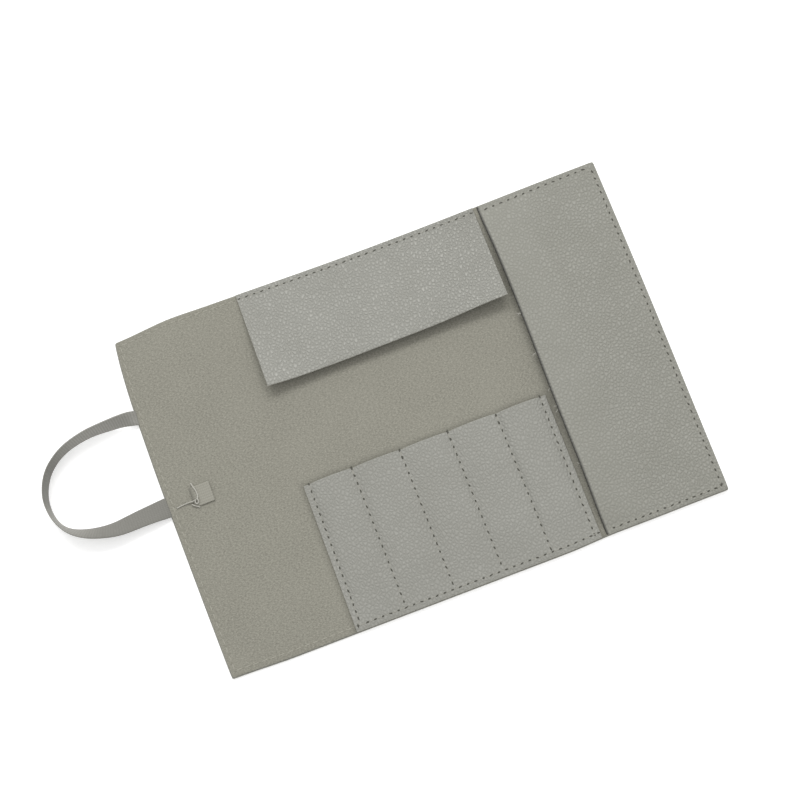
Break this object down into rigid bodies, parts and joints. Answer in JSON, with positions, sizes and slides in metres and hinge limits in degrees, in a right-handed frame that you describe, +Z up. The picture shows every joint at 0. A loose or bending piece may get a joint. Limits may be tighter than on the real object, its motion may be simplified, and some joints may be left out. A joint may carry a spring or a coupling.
{
  "type": "pencil roll",
  "caption": "Roll-up leather pencil case laid open, with sewn pencil slots under a lift-up flap, a side pocket and a woven strap loop at its tail edge.",
  "frame": {"origin": "centre of the open sheet's underside, on the table", "axes": "+X along the sheet's long side from the strap edge to the side pocket, +Y towards the flap's sewn edge, +Z up from the table"},
  "size_m": [0.367, 0.208, 0.0121],
  "materials": {
    "leather": "fine pebbled grain, satin, warm grey",
    "lining_cloth": "fine brushed matte cloth, warm grey",
    "strap_webbing": "woven elastic tape, matte, grey"
  },
  "bodies": {
    "slot_3_strip": {"cover_slot_3": "leather", "lining_slot_3": "lining_cloth", "pen_slot_3": "leather"},
    "slot_2_strip": {"cover_slot_2": "leather", "lining_slot_2": "lining_cloth", "pen_slot_2": "leather"},
    "slot_1_strip": {"cover_slot_1": "leather", "lining_slot_1": "lining_cloth", "pen_slot_1": "leather"},
    "tail_strip": {"cover_tail": "leather", "lining_tail": "lining_cloth", "strap_tab": "strap_webbing"},
    "slot_4_strip": {"cover_slot_4": "leather", "lining_slot_4": "lining_cloth", "pen_slot_4": "leather"},
    "slot_5_strip": {"cover_slot_5": "leather", "lining_slot_5": "lining_cloth", "pen_slot_5": "leather"},
    "side_strip": {"cover_side": "leather", "lining_side": "lining_cloth", "side_pocket": "leather"},
    "flap_1_strip": {"flap_1": "leather"},
    "flap_2_strip": {"flap_2": "leather"},
    "flap_3_strip": {"flap_3": "leather"},
    "flap_4_strip": {"flap_4": "leather"},
    "flap_5_strip": {"flap_5": "leather"},
    "strap": {"strap_loop": "strap_webbing"}
  },
  "joints": [
    {"name": "roll_up", "type": "hinge", "parent": "slot_3_strip", "child": "slot_4_strip", "pos_m": [0.0135, 0, 0.00395], "axis": [0, -1, 0], "range_deg": [0, 59]},
    {"name": "roll_slot_5", "type": "hinge", "parent": "slot_4_strip", "child": "slot_5_strip", "pos_m": [0.0435, 0, 0.00395], "axis": [0, -1, 0], "range_deg": [0, 30]},
    {"name": "roll_side", "type": "hinge", "parent": "slot_5_strip", "child": "side_strip", "pos_m": [0.074, 0, 0.00395], "axis": [0, -1, 0], "range_deg": [0, 124]},
    {"name": "roll_slot_2", "type": "hinge", "parent": "slot_3_strip", "child": "slot_2_strip", "pos_m": [-0.0165, 0, 0.00395], "axis": [0, 1, 0], "range_deg": [0, 5]},
    {"name": "roll_slot_1", "type": "hinge", "parent": "slot_2_strip", "child": "slot_1_strip", "pos_m": [-0.0455, 0, 0.00395], "axis": [0, 1, 0], "range_deg": [0, 100]},
    {"name": "roll_tail", "type": "hinge", "parent": "slot_1_strip", "child": "tail_strip", "pos_m": [-0.1125, 0, 0.0024], "axis": [0, 1, 0], "range_deg": [0, 78]},
    {"name": "flap_lift", "type": "hinge", "parent": "slot_3_strip", "child": "flap_3_strip", "pos_m": [-0.0015, 0.1042, 0.003], "axis": [-1, 0, 0], "range_deg": [0, 180]},
    {"name": "flap_lift_1", "type": "hinge", "parent": "slot_1_strip", "child": "flap_1_strip", "pos_m": [-0.06, 0.1042, 0.003], "axis": [-1, 0, 0], "range_deg": [0, 180]},
    {"name": "flap_lift_2", "type": "hinge", "parent": "slot_2_strip", "child": "flap_2_strip", "pos_m": [-0.031, 0.1042, 0.003], "axis": [-1, 0, 0], "range_deg": [0, 180]},
    {"name": "flap_lift_4", "type": "hinge", "parent": "slot_4_strip", "child": "flap_4_strip", "pos_m": [0.0285, 0.1042, 0.003], "axis": [-1, 0, 0], "range_deg": [0, 180]},
    {"name": "flap_lift_5", "type": "hinge", "parent": "slot_5_strip", "child": "flap_5_strip", "pos_m": [0.0587, 0.1042, 0.003], "axis": [-1, 0, 0], "range_deg": [0, 180]},
    {"name": "strap_swing", "type": "hinge", "parent": "tail_strip", "child": "strap", "pos_m": [-0.15, 0.0287, 0.0017], "axis": [0, 1, 0], "range_deg": [0, 30]}
  ],
  "couplings": [
    {"joint": "roll_slot_5", "follows": "roll_up", "ratio": 0.424},
    {"joint": "roll_side", "follows": "roll_up", "ratio": 1.784},
    {"joint": "roll_slot_2", "follows": "roll_up", "ratio": 0.04},
    {"joint": "roll_slot_1", "follows": "roll_up", "ratio": 1.44},
    {"joint": "roll_tail", "follows": "roll_up", "ratio": 1.12},
    {"joint": "flap_lift_1", "follows": "flap_lift", "ratio": 1},
    {"joint": "flap_lift_2", "follows": "flap_lift", "ratio": 1},
    {"joint": "flap_lift_4", "follows": "flap_lift", "ratio": 1},
    {"joint": "flap_lift_5", "follows": "flap_lift", "ratio": 1}
  ]
}
